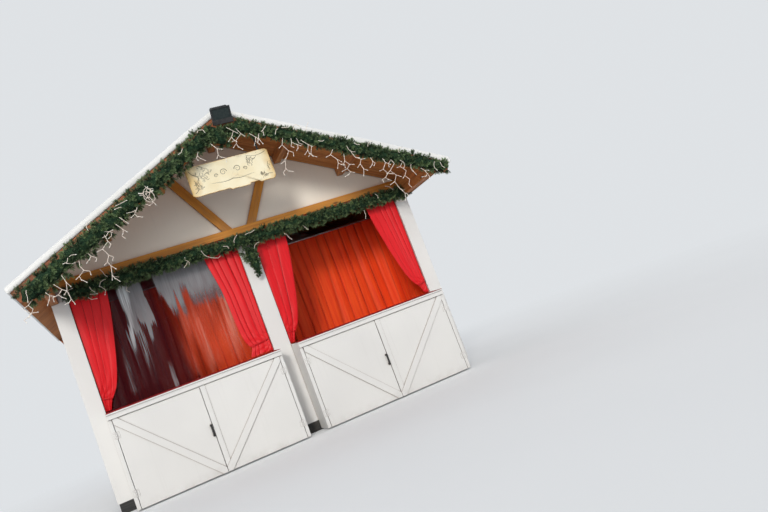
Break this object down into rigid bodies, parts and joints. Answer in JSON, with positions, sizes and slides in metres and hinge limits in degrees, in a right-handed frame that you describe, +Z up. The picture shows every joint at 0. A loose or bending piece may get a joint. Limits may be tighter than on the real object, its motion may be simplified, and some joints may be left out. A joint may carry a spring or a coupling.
{
  "type": "wooden market hut",
  "caption": "White painted wooden market hut with front gable, serving bays over cupboard counters, boarded roof under a white cover, red curtains and fir garlands.",
  "frame": {"origin": "centre of the base footprint on the ground", "axes": "+X to the right along the front, +Y from the front to the back, +Z up"},
  "size_m": [4.522, 4.3933, 3.4099],
  "materials": {
    "dark_base": "stained near-black, rough",
    "floor_wood": "bare boards",
    "white_paint": "white paint on boards, satin",
    "brown_wood": "brown stain, matt",
    "orange_wood": "orange-brown stain, satin",
    "white_cover": "coated white cover, slightly shiny",
    "red_cloth": "light curtain cloth",
    "clear_film": "clear soft film, glossy",
    "garland_green": "artificial fir needles",
    "sign_cream": "cream board with browned edges",
    "lamp_grey": "dark grey, matt",
    "steel": "zinc plated",
    "black_plastic": "black, matt"
  },
  "bodies": {
    "hut": {"base_beams": "dark_base", "base_joists": "dark_base", "floor": "floor_wood", "front_posts": "white_paint", "front_sill_walls": "white_paint", "front_gable": "white_paint", "rear_posts": "white_paint", "rear_walls": "white_paint", "rear_gable": "white_paint", "rear_door": "white_paint", "rear_door_fittings": "steel", "side_walls": "white_paint", "side_studs": "white_paint", "side_flaps": "white_paint", "side_ledges": "white_paint", "ridge_beam": "brown_wood", "purlins": "brown_wood", "wall_plates": "brown_wood", "tie_beam": "orange_wood", "gable_struts": "orange_wood", "counter_cheeks": "white_paint", "counter_floors": "white_paint", "counter_shelves": "white_paint", "counter_hinges": "white_paint", "left_bay_curtains": "red_cloth", "right_bay_curtains": "red_cloth", "clear_film": "clear_film", "back_rail": "steel", "back_curtain": "red_cloth", "sign_board": "sign_cream", "sign_strips": "steel", "lamp_housing": "lamp_grey", "lamp_yoke": "lamp_grey", "rake_garlands": "garland_green", "beam_garland": "garland_green", "garland_drop": "garland_green", "roof_boards_left": "brown_wood", "roof_boards_right": "brown_wood", "roof_cover_left": "white_cover", "roof_cover_right": "white_cover", "barge_boards_left": "brown_wood", "barge_boards_right": "brown_wood"},
    "left_counter_left_leaf": {"left_counter_left_leaf": "white_paint", "left_counter_handle": "black_plastic"},
    "left_counter_right_leaf": {"left_counter_right_leaf": "white_paint"},
    "right_counter_left_leaf": {"right_counter_left_leaf": "white_paint", "right_counter_handle": "black_plastic"},
    "right_counter_right_leaf": {"right_counter_right_leaf": "white_paint"}
  },
  "joints": [
    {"name": "left_counter_left_hinge", "type": "hinge", "parent": "hut", "child": "left_counter_left_leaf", "pos_m": [-1.8055, -1.806, 0.4], "axis": [0, 0, -1], "range_deg": [0, 95]},
    {"name": "left_counter_right_hinge", "type": "hinge", "parent": "hut", "child": "left_counter_right_leaf", "pos_m": [-0.1335, -1.806, 0.4], "axis": [0, 0, 1], "range_deg": [0, 95]},
    {"name": "right_counter_left_hinge", "type": "hinge", "parent": "hut", "child": "right_counter_left_leaf", "pos_m": [0.1335, -1.806, 0.4], "axis": [0, 0, -1], "range_deg": [0, 95]},
    {"name": "right_counter_right_hinge", "type": "hinge", "parent": "hut", "child": "right_counter_right_leaf", "pos_m": [1.8055, -1.806, 0.4], "axis": [0, 0, 1], "range_deg": [0, 95]}
  ]
}
